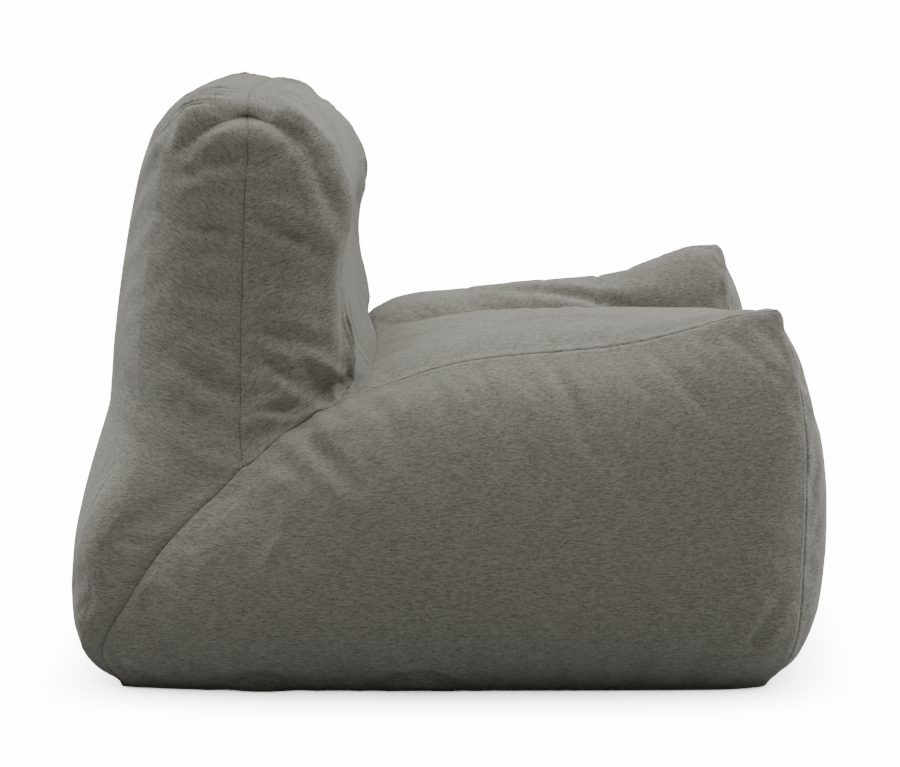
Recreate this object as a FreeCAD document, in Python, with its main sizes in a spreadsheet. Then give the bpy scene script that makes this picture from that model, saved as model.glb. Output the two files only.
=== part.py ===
import FreeCAD, Part
import os
import Sketcher

# A bean bag chair in millimetres. +Z is up, the sitter faces -Y, X runs across the seat,
# and the origin is on the floor under the middle of the chair.
# The chair is a sewn cover around two bags of beads: a broad seat bag with two arms, and a
# backrest bag that stands on its rear half. A zip along the lower back opens the cover.

# Driving dimensions: name, value, what it is.
SIZES = (
    ("width", 960, "overall width across the bulging sides"),
    ("depth", 992, "overall depth, front bulge to zip slider"),
    ("height", 758, "floor to the top of the backrest"),
    ("foot_width", 850, "width of the footprint"),
    ("arm_width", 790, "width over the arms at their front tips"),
    ("back_width", 772, "width of the backrest at its top"),
    ("corner_width", 872, "width between the corners, seen from above"),
    ("rear_flat", 720, "straight part of the rear, seen from above"),
    ("corner_tuck", 20, "how far the rear corners lie ahead of the rear face"),
    ("foot_tuck_rear", 25, "footprint edge, ahead of the rear face"),
    ("foot_tuck_front", 67, "footprint edge, behind the front bulge"),
    ("front_tuck", 87, "front seams and arm tips, behind the front bulge"),
    ("belly_height", 150, "height of the furthest point of the front bulge"),
    ("arm_tip_height", 484, "height of the arm tips"),
    ("junction_height", 369, "height where the arms run into the backrest"),
    ("backrest_depth", 341, "front of the backrest to the rear face"),
    ("valley_rise", 15.5, "fold across the backrest, above the middle of its front"),
    ("brow_drop", 98, "top of the backrest down to its upper front edge"),
    ("brow_set", 330, "upper front edge of the backrest, ahead of the rear face"),
    ("top_set", 225, "top and side seam of the backrest, ahead of the rear face"),
    ("tee_height", 291, "height where that seam meets the seat bag's seam"),
    ("heel_set", 38, "rear end of the seat bag's seam, ahead of the rear face"),
    ("heel_height", 55, "height of that end"),
    ("shoulder_set", 95, "upper rear edge of the backrest, ahead of the rear face"),
    ("waist_height", 350, "height of the tuck between seat bag and backrest"),
    ("waist_tuck", 35, "depth of that tuck"),
    ("seat_height", 405, "floor to the seat between the arms"),
    ("seat_width", 430, "seat between the inner arm seams"),
    ("seat_mouth", 800, "spread of the arms above their tips"),
    ("mouth_rise", 40, "height above the arm tips where that spread is measured"),
    ("seat_run_out", 60, "end of the seat hollow, ahead of the backrest"),
    ("divider_drop", 9, "divider web below the arm and backrest junction"),
    ("cloth", 1.5, "thickness of the cover cloth"),
    ("liner_gap", 6, "outer face of the cover to the liner bags"),
    ("liner_cloth", 0.8, "thickness of the liner cloth"),
    ("fill_gap", 0.3, "liner to the mass of beads"),
    ("zip_height", 110, "floor to the middle of the zip"),
    ("zip_facet", 60, "height of the flat strip that holds the zip"),
    ("zip_length", 640, "length of the zip chain"),
    ("zip_slot", 16, "height of the slot in the cover for the zip"),
    ("zip_slot_end", 8, "slot beyond each end of the chain"),
    ("tape_width", 16, "width of one zip tape"),
    ("tape_thick", 0.8, "thickness of the zip tape"),
    ("tape_split", 1.2, "middle of the zip to the edge of each tape"),
    ("coil_width", 2.2, "width of one coil row"),
    ("coil_height", 1.6, "height of one coil row"),
    ("plan_slack", 15, "how far the side of the plan outline stands outside the widest place"),
    ("plan_ease", 12, "how far the ends of the plan outline stand outside the side outline"),
    ("zone_margin", 50, "how far a cutting outline reaches past the chair"),
    ("root_relief", 90, "how far a cutting outline reaches past the root of the arm"),
    ("tool_reach", 20, "how far a small cutting block reaches each way"),
    ("slider_length", 12, "length of the slider along the zip"),
    ("slider_half", 5, "half the width of the slider"),
    ("slider_plate", 1.4, "thickness of the slider's plates"),
    ("slider_gap", 0.4, "clearance around the tape and coils"),
    ("wedge_length", 4, "length of the slider's wedge"),
    ("bail_length", 7.4, "length of the slider's bail"),
    ("bail_height", 3.6, "height of the bail above the plate"),
    ("bail_width", 1.6, "width of the bail"),
    ("bail_wall", 1.2, "wall of the bail"),
    ("pull_length", 26, "length of the pull from its bar"),
    ("pull_half", 4, "half the width of the pull"),
    ("pull_thick", 1.3, "thickness of the pull"),
    ("pull_gap", 0.5, "clearance between pull and bail"),
    ("pull_bar_radius", 0.65, "radius of the bar in the bail"),
    ("stop_length", 3, "length of an end stop"),
    ("stop_gap", 1, "end stop to the slider when the zip is shut"),
)

doc = FreeCAD.newDocument("bean_bag_chair")
sheet = doc.addObject("Spreadsheet::Sheet", "Sizes")
for row, (alias, value, meaning) in enumerate(SIZES, start=1):
    sheet.set("A%d" % row, meaning)
    sheet.set("B%d" % row, str(value))
    sheet.setAlias("B%d" % row, alias)
doc.recompute()

NODES = []

# Places that several pieces share, worked out from the sheet.
ZIP_STACK = "(Sizes.coil_height + Sizes.slider_gap + Sizes.slider_plate + Sizes.bail_height)"
FRONT = "(-Sizes.depth / 2)"
REAR = "(Sizes.depth / 2 - %s + Sizes.cloth)" % ZIP_STACK
FRONT_SEAM = "(%s + Sizes.front_tuck)" % FRONT
JUNCTION = "(%s - Sizes.backrest_depth)" % REAR
TOP_SEAM = "(%s - Sizes.top_set)" % REAR
BROW_HEIGHT = "(Sizes.height - Sizes.brow_drop)"
VALLEY_HEIGHT = "((Sizes.junction_height + %s) / 2 + Sizes.valley_rise)" % BROW_HEIGHT
BEYOND = "(Sizes.width + Sizes.depth + Sizes.height)"
TAPE_FACE = "(%s - Sizes.cloth)" % REAR
LINER_OUT = "Sizes.liner_gap"
LINER_IN = "(Sizes.liner_gap + Sizes.liner_cloth)"
FILL_OUT = "(Sizes.liner_gap + Sizes.liner_cloth + Sizes.fill_gap)"


def number(expression):
    """The value of an expression of the sheet's names."""
    found = sheet.evalExpression(expression)
    return float(getattr(found, "Value", found))


def node(made, label):
    """Names a finished sub-part and lists it for the parts folder."""
    made.Label = label
    NODES.append(made)
    return made


def block(name, low, high):
    """A box between two corners, each given as three expressions."""
    made = doc.addObject("Part::Box", name)
    for axis, side, start, end in zip("xyz", ("Length", "Width", "Height"), low, high):
        made.setExpression(side, "(%s) - (%s)" % (end, start))
        made.setExpression("Placement.Base." + axis, start)
    return made


def common(name, *shapes):
    """What all the shapes share."""
    made = doc.addObject("Part::MultiCommon", name)
    made.Shapes = list(shapes)
    return made


def cut(name, base, *tools):
    """The base with each tool taken away in turn."""
    made = base
    for count, tool in enumerate(tools):
        step = doc.addObject("Part::Cut", "%s_%d" % (name, count))
        step.Base = made
        step.Tool = tool
        made = step
    return made


def new_sketch(body, name, role):
    """An empty sketch on one of the body's own origin planes."""
    sketch = body.newObject("Sketcher::SketchObject", name)
    plane = [item for item in body.Origin.OriginFeatures if item.Role == role][0]
    sketch.AttachmentSupport = [(plane, "")]
    sketch.MapMode = "FlatFace"
    return sketch


def pin_point(sketch, edge, end, place):
    """Holds one point of a sketch at two expressions."""
    for kind, expression in zip(("DistanceX", "DistanceY"), place):
        rule = Sketcher.Constraint(kind, -1, 1, edge, end, number(expression))
        index = sketch.addConstraint(rule)
        sketch.setExpression("Constraints[%d]" % index, expression)


def outline(name, role, corners, bows):
    """A closed outline in a body of its own. bows gives, for an edge that starts at a corner
    number, how far the middle of its arc stands off the straight line between its ends."""
    body = doc.addObject("PartDesign::Body", name)
    sketch = new_sketch(body, name + "_sketch", role)
    points = [FreeCAD.Vector(number(h), number(v), 0) for h, v in corners]
    count = len(points)
    for index in range(count):
        start = points[index]
        end = points[(index + 1) % count]
        if index in bows:
            bow = FreeCAD.Vector(*[number(part) for part in bows[index]], 0)
            edge = Part.Arc(start, (start + end) / 2 + bow, end)
        else:
            edge = Part.LineSegment(start, end)
        sketch.addGeometry(edge)
    # An arc's own start is its clockwise end, so each edge remembers which end is which.
    ends = []
    for index in range(count):
        first = 1 if sketch.Geometry[index].StartPoint.distanceToPoint(points[index]) < 0.01 else 2
        ends.append((first, 3 - first))
    for index in range(count):
        following = (index + 1) % count
        sketch.addConstraint(
            Sketcher.Constraint("Coincident", index, ends[index][1], following, ends[following][0]))
        pin_point(sketch, index, ends[index][0], corners[index])
    for index, bow in bows.items():
        start = corners[index]
        end = corners[(index + 1) % count]
        middle = ["(%s + %s) / 2 + %s" % (a, b, off) for a, b, off in zip(start, end, bow)]
        place = FreeCAD.Vector(*[number(part) for part in middle], 0)
        mark = sketch.addGeometry(Part.Point(place), True)
        pin_point(sketch, mark, 1, middle)
        sketch.addConstraint(Sketcher.Constraint("PointOnObject", mark, 1, index))
    return sketch


def prism(name, sketch, inset, direction, ahead, behind):
    """The outline drawn in by inset (out, if negative) and drawn out along a direction."""
    face = sketch
    if inset:
        face = doc.addObject("Part::Offset2D", name + "_edge")
        face.Source = sketch
        face.Join = "Arc"
        face.setExpression("Value", "-(%s)" % inset)
    made = doc.addObject("Part::Extrusion", name)
    made.Base = face
    made.DirMode = "Custom"
    made.Dir = direction
    made.Solid = True
    made.setExpression("LengthFwd", ahead)
    made.setExpression("LengthRev", behind)
    return made


# The chair's outline from the side: depth along, height up, starting at the rear foot.
side_outline = outline(
    "side_outline", "YZ_Plane",
    ((REAR + " - Sizes.foot_tuck_rear", "0"),
     (REAR, "Sizes.zip_height - Sizes.zip_facet / 2"),
     (REAR, "Sizes.zip_height + Sizes.zip_facet / 2"),
     (REAR + " - Sizes.waist_tuck", "Sizes.waist_height"),
     (REAR + " - Sizes.shoulder_set", BROW_HEIGHT),
     (TOP_SEAM, "Sizes.height"),
     (REAR + " - Sizes.brow_set", BROW_HEIGHT),
     (JUNCTION, VALLEY_HEIGHT),
     (JUNCTION, "Sizes.junction_height"),
     (FRONT_SEAM, "Sizes.arm_tip_height"),
     (FRONT, "Sizes.belly_height"),
     (FRONT + " + Sizes.foot_tuck_front", "0")),
    {0: ("6", "-2"), 2: ("9", "1"), 3: ("14", "3"), 4: ("22", "18"), 5: ("-18", "18"),
     6: ("-17", "0"), 7: ("-13", "0"), 8: ("2", "10"), 9: ("-21", "6"), 10: ("-16", "-7")})

# From the front: the sides bulge low down and draw in over the arms and up the backrest.
side_bow = "Sizes.width / 2 - (Sizes.foot_width + Sizes.arm_width) / 4"
front_outline = outline(
    "front_outline", "XZ_Plane",
    (("Sizes.foot_width / 2", "0"),
     ("Sizes.arm_width / 2", "Sizes.arm_tip_height"),
     ("Sizes.back_width / 2", "Sizes.height + Sizes.mouth_rise"),
     ("-Sizes.back_width / 2", "Sizes.height + Sizes.mouth_rise"),
     ("-Sizes.arm_width / 2", "Sizes.arm_tip_height"),
     ("-Sizes.foot_width / 2", "0")),
    {0: (side_bow, "0"), 4: ("-(%s)" % side_bow, "0")})

# From above: a bowed front, bowed sides, and a rear that is straight where the zip is.
plan_bow = "Sizes.width / 2 + Sizes.plan_slack - Sizes.corner_width / 2"
plan_outline = outline(
    "plan_outline", "XY_Plane",
    (("-Sizes.corner_width / 2", FRONT_SEAM),
     ("Sizes.corner_width / 2", FRONT_SEAM),
     ("Sizes.corner_width / 2", REAR + " - Sizes.corner_tuck"),
     ("Sizes.rear_flat / 2", REAR + " + Sizes.plan_ease"),
     ("-Sizes.rear_flat / 2", REAR + " + Sizes.plan_ease"),
     ("-Sizes.corner_width / 2", REAR + " - Sizes.corner_tuck")),
    {0: ("0", "-(Sizes.front_tuck + Sizes.plan_ease)"), 1: (plan_bow, "0"), 2: ("8", "10"), 4: ("-8", "10"),
     5: ("-(%s)" % plan_bow, "0")})

# The hollow between the arms, from the front.
hollow_outline = outline(
    "hollow_outline", "XZ_Plane",
    (("-Sizes.seat_width / 2", "Sizes.seat_height"),
     ("Sizes.seat_width / 2", "Sizes.seat_height"),
     ("Sizes.seat_mouth / 2", "Sizes.arm_tip_height + Sizes.mouth_rise"),
     ("-Sizes.seat_mouth / 2", "Sizes.arm_tip_height + Sizes.mouth_rise")),
    {})

# The seat bag's side panel ends along this line: from the arm down to the rear foot.
side_zone_outline = outline(
    "side_zone_outline", "YZ_Plane",
    ((JUNCTION, "Sizes.junction_height"),
     (TOP_SEAM, "Sizes.tee_height"),
     (REAR + " - Sizes.heel_set", "Sizes.heel_height"),
     (REAR + " - Sizes.heel_set", "-Sizes.zone_margin"),
     (FRONT + " - Sizes.zone_margin", "-Sizes.zone_margin"),
     (FRONT + " - Sizes.zone_margin", "Sizes.height"),
     (JUNCTION + " - Sizes.root_relief", "Sizes.height"),
     (JUNCTION + " - Sizes.root_relief", "Sizes.junction_height + Sizes.root_relief")),
    {})

# Everything above and behind this outline belongs to the backrest bag.
backrest_outline = outline(
    "backrest_outline", "YZ_Plane",
    ((JUNCTION, "Sizes.junction_height - Sizes.divider_drop"),
     (REAR + " + Sizes.zone_margin", "Sizes.junction_height - Sizes.divider_drop"),
     (REAR + " + Sizes.zone_margin", "Sizes.height + Sizes.zone_margin"),
     (JUNCTION + " - Sizes.root_relief", "Sizes.height + Sizes.zone_margin"),
     (JUNCTION + " - Sizes.root_relief", "Sizes.junction_height + Sizes.root_relief"),
     (JUNCTION, "Sizes.junction_height")),
    {})

ACROSS = FreeCAD.Vector(1, 0, 0)
BACKWARD = FreeCAD.Vector(0, 1, 0)
UPWARD = FreeCAD.Vector(0, 0, 1)


def chair_solid(name, inset):
    """The whole stuffed chair, drawn in by inset on every side."""
    side = prism(name + "_side", side_outline, inset, ACROSS, BEYOND, BEYOND)
    front = prism(name + "_front", front_outline, inset, BACKWARD, BEYOND, BEYOND)
    plan = prism(name + "_plan", plan_outline, inset, UPWARD, BEYOND, BEYOND)
    grow = "-(%s)" % inset if inset else ""
    run_out = "%s - Sizes.seat_run_out" % JUNCTION
    if inset:
        run_out = "%s + %s" % (run_out, inset)
    hollow = prism(name + "_hollow", hollow_outline, grow, BACKWARD, run_out, BEYOND)
    stuffed = common(name + "_stuffed", side, front, plan)
    return cut(name, stuffed, hollow), common(name + "_core", front, plan)


whole, _ = chair_solid("whole", "")
lining, core = chair_solid("lining", "Sizes.cloth")
shell = cut("shell", whole, lining)
backrest_zone = prism("backrest_zone", backrest_outline, "", ACROSS, BEYOND, BEYOND)
far_low = "(-%s)" % BEYOND
FLOOR_CLOTH = "Sizes.cloth"


def slab(name, y_low, y_high, z_low=FLOOR_CLOTH, x_low=far_low, x_high=BEYOND):
    """A box without an upper limit that picks out one panel's share of the shell."""
    return block(name, (x_low, y_low, z_low), (x_high, y_high, BEYOND))


# Cover: the base panel is the whole footprint, and the other panels stand on it.
footprint = block("footprint", (far_low, far_low, "0"), (BEYOND, BEYOND, FLOOR_CLOTH))
node(common("base_panel_cloth", whole, footprint), "base_panel")
node(common("front_cloth", shell, slab("front_share", far_low, FRONT_SEAM)), "front_panel")
seat_bag_zone = prism("seat_bag_zone", side_zone_outline, "", ACROSS, BEYOND, BEYOND)
side_skin = common("side_skin", cut("both_sides", whole, core), seat_bag_zone)
taken = []
for hand, x_low, x_high in (("right", far_low, "0"), ("left", "0", BEYOND)):
    share = slab("side_share_" + hand, FRONT_SEAM, BEYOND, x_low=x_low, x_high=x_high)
    taken.append(node(common("side_cloth_" + hand, side_skin, share), "side_panel_" + hand))
strip = common("strip", shell, core, slab("strip_share", FRONT_SEAM, BEYOND))
seat_strip = cut("seat_strip", strip, backrest_zone)
half_seat = "Sizes.seat_width / 2"
seat_shares = (
    ("arm_top_panel_right", far_low, "-" + half_seat),
    ("seat_panel", "-" + half_seat, half_seat),
    ("arm_top_panel_left", half_seat, BEYOND))
for label, x_low, x_high in seat_shares:
    share = slab(label + "_share", FRONT_SEAM, JUNCTION, x_low=x_low, x_high=x_high)
    taken.append(node(common(label + "_cloth", seat_strip, share), label))

# What is left of the shell wraps the backrest: one panel ahead of the side seam, one behind it.
rear_shell = common("rear_shell", shell, slab("rear_share", FRONT_SEAM, BEYOND))
wrap = cut("wrap", rear_shell, *taken)
ahead_share = slab("backrest_share", far_low, TOP_SEAM)
node(common("backrest_cloth", wrap, ahead_share), "backrest_front_panel")
back_wrap = common("back_wrap", wrap, slab("back_share", TOP_SEAM, BEYOND))
half_slot = "(Sizes.zip_length / 2 + Sizes.zip_slot_end)"
zip_slot = block(
    "zip_slot_block",
    ("-" + half_slot, REAR + " - Sizes.tool_reach", "Sizes.zip_height - Sizes.zip_slot / 2"),
    (half_slot, REAR + " + Sizes.tool_reach", "Sizes.zip_height + Sizes.zip_slot / 2"))
node(cut("back_cloth", back_wrap, zip_slot), "back_panel")

# The web sewn across inside the cover, which keeps the backrest bag up.
web_middle = "(Sizes.junction_height - Sizes.divider_drop)"
web = block(
    "web", (far_low, JUNCTION, web_middle + " - Sizes.cloth / 2"),
    (BEYOND, BEYOND, web_middle + " + Sizes.cloth / 2"))
node(common("divider_cloth", lining, web), "divider_panel")


def bag_pair(name, inset):
    """The two bags at one depth below the cover: the seat bag, then the backrest bag."""
    inside, _ = chair_solid(name, inset)
    apart = "(%s - Sizes.cloth)" % inset
    grown = prism(name + "_zone_out", backrest_outline, "-" + apart, ACROSS, BEYOND, BEYOND)
    drawn_in = prism(name + "_zone_in", backrest_outline, apart, ACROSS, BEYOND, BEYOND)
    return cut(name + "_seat", inside, grown), common(name + "_backrest", inside, drawn_in)


outer_bags = bag_pair("liner_outer", LINER_OUT)
inner_bags = bag_pair("liner_inner", LINER_IN)
fills = bag_pair("fill", FILL_OUT)
for place, outer, inner, fill in zip(("seat", "backrest"), outer_bags, inner_bags, fills):
    node(cut(place + "_liner_cloth", outer, inner), place + "_liner")
    node(fill, place + "_fill")

# Zip tapes and coils: one of each above the middle of the zip, one below. The coils are meshed
# as far as the slider's wedge.
half_chain = "(Sizes.zip_length / 2)"
SLIDER_X = "(Sizes.zip_length / 2 - Sizes.stop_gap - Sizes.slider_length / 2)"
SLIDER_LOW = "(%s - Sizes.slider_length / 2)" % SLIDER_X
SLIDER_HIGH = "(%s + Sizes.slider_length / 2)" % SLIDER_X
MESHED_END = "(%s - Sizes.wedge_length - Sizes.slider_gap)" % SLIDER_HIGH
half_tape = "(Sizes.zip_length / 2 + Sizes.zip_slot_end + Sizes.stop_length)"
for place, sign in (("upper", 1), ("lower", -1)):
    near = "Sizes.tape_split"
    far = "(Sizes.tape_split + Sizes.tape_width)"
    coil_far = "Sizes.coil_width"
    if sign > 0:
        tape_z = ("Sizes.zip_height + " + near, "(Sizes.zip_height + %s)" % far)
        coil_z = ("Sizes.zip_height", "(Sizes.zip_height + %s)" % coil_far)
    else:
        tape_z = ("(Sizes.zip_height - %s)" % far, "(Sizes.zip_height - %s)" % near)
        coil_z = ("(Sizes.zip_height - %s)" % coil_far, "Sizes.zip_height")
    tape = block(
        "tape_" + place, ("-" + half_tape, TAPE_FACE + " - Sizes.tape_thick", tape_z[0]),
        (half_tape, TAPE_FACE, tape_z[1]))
    node(tape, "zip_tape_" + place)
    coil = block(
        "coil_" + place, ("-" + half_chain, TAPE_FACE, coil_z[0]),
        (MESHED_END, TAPE_FACE + " + Sizes.coil_height", coil_z[1]))
    node(coil, "zip_coil_" + place)

# End stops, clamped over both coils at each end of the chain.
for label, x_low, x_high in (
        ("zip_shut_stop", half_chain, "(%s + Sizes.stop_length)" % half_chain),
        ("zip_open_stop", "(-%s - Sizes.stop_length)" % half_chain, "-" + half_chain)):
    stop = block(
        label + "_clamp", (x_low, TAPE_FACE, "(Sizes.zip_height - Sizes.coil_width)"),
        (x_high, TAPE_FACE + " + Sizes.coil_height", "(Sizes.zip_height + Sizes.coil_width)"))
    node(stop, label)

# The slider, shut, with its outer plate, inner plate, wedge, flanges and bail.
SLIDER_FOOT = "(Sizes.zip_height - Sizes.slider_half)"
SLIDER_HEAD = "(Sizes.zip_height + Sizes.slider_half)"
PLATE_LOW = "(%s + Sizes.coil_height + Sizes.slider_gap)" % TAPE_FACE
PLATE_HIGH = "(%s + Sizes.slider_plate)" % PLATE_LOW
INNER_HIGH = "(%s - Sizes.tape_thick - Sizes.slider_gap)" % TAPE_FACE
wedge_half = "(Sizes.tape_split - Sizes.slider_gap)"
flange_in = "(Sizes.coil_width + Sizes.slider_gap)"
bail_half = "Sizes.bail_length / 2"
hole_half = "(Sizes.bail_length / 2 - Sizes.bail_wall)"
slider_pieces = [
    block("slider_outer", (SLIDER_LOW, PLATE_LOW, SLIDER_FOOT),
          (SLIDER_HIGH, PLATE_HIGH, SLIDER_HEAD)),
    block("slider_inner", (SLIDER_LOW, INNER_HIGH + " - Sizes.slider_plate", SLIDER_FOOT),
          (SLIDER_HIGH, INNER_HIGH, SLIDER_HEAD)),
    block("slider_wedge",
          (SLIDER_HIGH + " - Sizes.wedge_length", INNER_HIGH, "Sizes.zip_height - " + wedge_half),
          (SLIDER_HIGH, PLATE_LOW, "(Sizes.zip_height + %s)" % wedge_half)),
    block("slider_flange_low",
          (SLIDER_LOW, TAPE_FACE + " + Sizes.slider_gap", SLIDER_FOOT),
          (SLIDER_HIGH, PLATE_LOW, "(Sizes.zip_height - %s)" % flange_in)),
    block("slider_flange_high",
          (SLIDER_LOW, TAPE_FACE + " + Sizes.slider_gap", "Sizes.zip_height + " + flange_in),
          (SLIDER_HIGH, PLATE_LOW, SLIDER_HEAD)),
    block("slider_bail",
          (SLIDER_X + " - " + bail_half, PLATE_HIGH, "(Sizes.zip_height - Sizes.bail_width / 2)"),
          (SLIDER_X + " + " + bail_half, "(%s + Sizes.bail_height)" % PLATE_HIGH,
           "(Sizes.zip_height + Sizes.bail_width / 2)")),
]
slider_block = doc.addObject("Part::MultiFuse", "slider_block")
slider_block.Shapes = slider_pieces
bail_hole = block(
    "bail_hole", (SLIDER_X + " - " + hole_half, PLATE_HIGH, "(Sizes.zip_height - Sizes.tool_reach)"),
    (SLIDER_X + " + " + hole_half, "(%s + Sizes.bail_height - Sizes.bail_wall)" % PLATE_HIGH,
     "(Sizes.zip_height + Sizes.tool_reach)"))
node(cut("slider_cut", slider_block, bail_hole), "zip_slider")

# The pull: a flat tab with a window at one end, and a bar across the window inside the bail.
BAR_Y = "(%s + (Sizes.bail_height - Sizes.bail_wall) / 2)" % PLATE_HIGH
window_half = "(Sizes.bail_width / 2 + Sizes.pull_gap)"
window_reach = "(Sizes.bail_length / 2 + Sizes.bail_height / 2 + Sizes.pull_gap)"
tab = block(
    "pull_tab",
    ("(%s - Sizes.pull_length)" % SLIDER_X, "(%s - Sizes.pull_thick / 2)" % BAR_Y,
     "(Sizes.zip_height - Sizes.pull_half)"),
    ("(%s + Sizes.pull_bar_radius)" % SLIDER_X, "(%s + Sizes.pull_thick / 2)" % BAR_Y,
     "(Sizes.zip_height + Sizes.pull_half)"))
window = block(
    "pull_window",
    ("(%s - %s)" % (SLIDER_X, window_reach), "(%s - Sizes.tool_reach)" % BAR_Y,
     "(Sizes.zip_height - %s)" % window_half),
    ("(%s + Sizes.tool_reach)" % SLIDER_X, "(%s + Sizes.tool_reach)" % BAR_Y,
     "(Sizes.zip_height + %s)" % window_half))
bar = doc.addObject("Part::Cylinder", "pull_bar")
bar.setExpression("Radius", "Sizes.pull_bar_radius")
bar.setExpression("Height", "2 * Sizes.pull_half")
bar.setExpression("Placement.Base.x", SLIDER_X)
bar.setExpression("Placement.Base.y", BAR_Y)
bar.setExpression("Placement.Base.z", "Sizes.zip_height - Sizes.pull_half")
pull = doc.addObject("Part::MultiFuse", "pull_whole")
pull.Shapes = [cut("pull_frame", tab, window), bar]
node(pull, "zip_pull")

doc.recompute()
for item in doc.Objects:
    if "Invalid" in item.State or "Error" in item.State:
        raise RuntimeError("%s did not build" % item.Label)
for made in NODES:
    if made.Shape.isNull() or not made.Shape.isValid() or made.Shape.Volume <= 0:
        raise RuntimeError("%s has no valid shape" % made.Label)

os.makedirs("parts", exist_ok=True)
for made in NODES:
    made.Shape.exportStep("parts/%s.step" % made.Label)
    box = made.Shape.BoundBox
    print("%-22s %d solid(s) %10.1f cm3  x %.1f..%.1f y %.1f..%.1f z %.1f..%.1f" % (
        made.Label, len(made.Shape.Solids), made.Shape.Volume / 1000,
        box.XMin, box.XMax, box.YMin, box.YMax, box.ZMin, box.ZMax))
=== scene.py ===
import math

import bmesh
import bpy
import numpy as np
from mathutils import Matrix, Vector


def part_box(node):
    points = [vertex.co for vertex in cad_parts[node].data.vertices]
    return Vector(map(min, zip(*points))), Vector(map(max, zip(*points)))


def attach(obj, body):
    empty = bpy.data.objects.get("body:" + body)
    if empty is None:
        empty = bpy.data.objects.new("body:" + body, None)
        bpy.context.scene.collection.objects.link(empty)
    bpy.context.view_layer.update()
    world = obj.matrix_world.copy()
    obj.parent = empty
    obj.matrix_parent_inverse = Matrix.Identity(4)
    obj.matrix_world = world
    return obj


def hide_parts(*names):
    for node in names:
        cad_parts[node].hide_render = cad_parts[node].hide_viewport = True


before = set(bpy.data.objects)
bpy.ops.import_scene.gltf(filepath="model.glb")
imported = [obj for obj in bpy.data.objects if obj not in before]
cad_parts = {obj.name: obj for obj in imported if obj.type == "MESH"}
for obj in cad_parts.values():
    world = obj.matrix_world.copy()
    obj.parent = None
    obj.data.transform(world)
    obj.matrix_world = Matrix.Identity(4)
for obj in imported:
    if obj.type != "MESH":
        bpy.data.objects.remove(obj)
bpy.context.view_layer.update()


# ---------------------------------------------------------------------------------------------
# Camera. It stands level with the middle of the chair on its right side, over three metres off
# and a little above the backrest, and looks slightly down.
# ---------------------------------------------------------------------------------------------
camera_data = bpy.data.cameras.new("camera")
camera = bpy.data.objects.new("camera", camera_data)
bpy.context.collection.objects.link(camera)
camera.location = (-3.636, 0.011, 0.919)
camera.rotation_euler = (math.radians(90 - 9.22), 0, math.radians(-90))
camera_data.sensor_width = 36
camera_data.lens = 105.4
camera_data.clip_end = 400
bpy.context.scene.camera = camera


# ---------------------------------------------------------------------------------------------
# The cover's pattern. Nine cloth panels are sewn edge to edge: two sides, two arm tops, a seat,
# a front, the two that wrap the backrest, and a base. Each seam is one curve, and both of its
# panels use it, so that the cover closes. The right half is drawn and the left half mirrors it.
# ---------------------------------------------------------------------------------------------
FINE = 1.4
ALONG_SIDE = round(72 * FINE)
UP_SIDE_LOW = round(30 * FINE)
UP_SIDE_HIGH = round(14 * FINE)
ACROSS_ARM = round(18 * FINE)
ACROSS_HALF_SEAT = round(24 * FINE)
UP_BACKREST = round(48 * FINE)
SEAT_COLUMNS = 2 * ACROSS_HALF_SEAT
FRONT_COLUMNS = 2 * ACROSS_ARM + SEAT_COLUMNS


def seam_curve(points, steps):
    """A smooth curve through the points, as steps + 1 places evenly spaced along it."""
    points = np.array(points, float)
    padded = np.vstack([2 * points[0] - points[1], points, 2 * points[-1] - points[-2]])
    fine = []
    for index in range(len(points) - 1):
        a, b, c, d = padded[index:index + 4]
        for t in np.linspace(0, 1, 40, endpoint=False):
            fine.append(0.5 * (2 * b + (c - a) * t + (2 * a - 5 * b + 4 * c - d) * t ** 2
                               + (3 * b - a - 3 * c + d) * t ** 3))
    fine = np.array(fine + [points[-1]])
    reach = np.concatenate([[0], np.cumsum(np.linalg.norm(np.diff(fine, axis=0), axis=1))])
    wanted = np.linspace(0, reach[-1], steps + 1)
    return np.stack([np.interp(wanted, reach, fine[:, axis]) for axis in range(fine.shape[1])], 1)


def mirrored(points):
    """The same places on the other side of the chair."""
    return points * np.array([-1, 1, 1])


def box_of(node):
    """The low and the high corner of a CAD part."""
    places = [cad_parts[node].matrix_world @ Vector(corner)
              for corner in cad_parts[node].bound_box]
    return np.min(places, axis=0), np.max(places, axis=0)


def seam(start, end, steps, *bows):
    """A seam between two corners. Each bow is how far along it lies, from 0 to 1, and how far
    the seam stands off the straight line there."""
    start = np.array(start)
    end = np.array(end)
    stops = [start + (end - start) * along + np.array(push) for along, push in bows]
    return seam_curve([start, *stops, end], steps)


side_high = box_of("side_panel_right")[1]
arm_low, arm_high = box_of("arm_top_panel_right")
seat_low, seat_high = box_of("seat_panel")
crown_low, crown_high = box_of("backrest_front_panel")
rear_high = box_of("back_panel")[1]
foot_low, foot_high = box_of("base_panel")

# The beads press the cloth out from the foot and draw the corners in, so each corner of the
# sewn cover lies a little inside the same corner of the parts.
FOOT_ROLL = 0.040
FOOT_LIFT = 0.006
TIP_TUCK = 0.010
CROWN_TUCK = 0.020
FRONT_FOOT = (foot_low[0] + 0.03, foot_low[1] + FOOT_ROLL, FOOT_LIFT)
HEEL = (foot_low[0] + 0.03, foot_high[1] - FOOT_ROLL, FOOT_LIFT)
ARM_TIP = (side_high[0] + 0.01, arm_low[1] + TIP_TUCK, arm_high[2])
ARM_ROOT = (side_high[0] + 0.01, arm_high[1], arm_low[2])
TEE = (side_high[0] - 0.03, crown_high[1], crown_low[2])
CROWN = (side_high[0] + 0.05, crown_high[1], rear_high[2] - CROWN_TUCK)
CREASE_FRONT = (seat_low[0] - 0.075, seat_low[1], seat_high[2] - 0.02)
CREASE_REAR = (seat_low[0] + 0.01, arm_high[1] - 0.03, arm_low[2])
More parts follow.
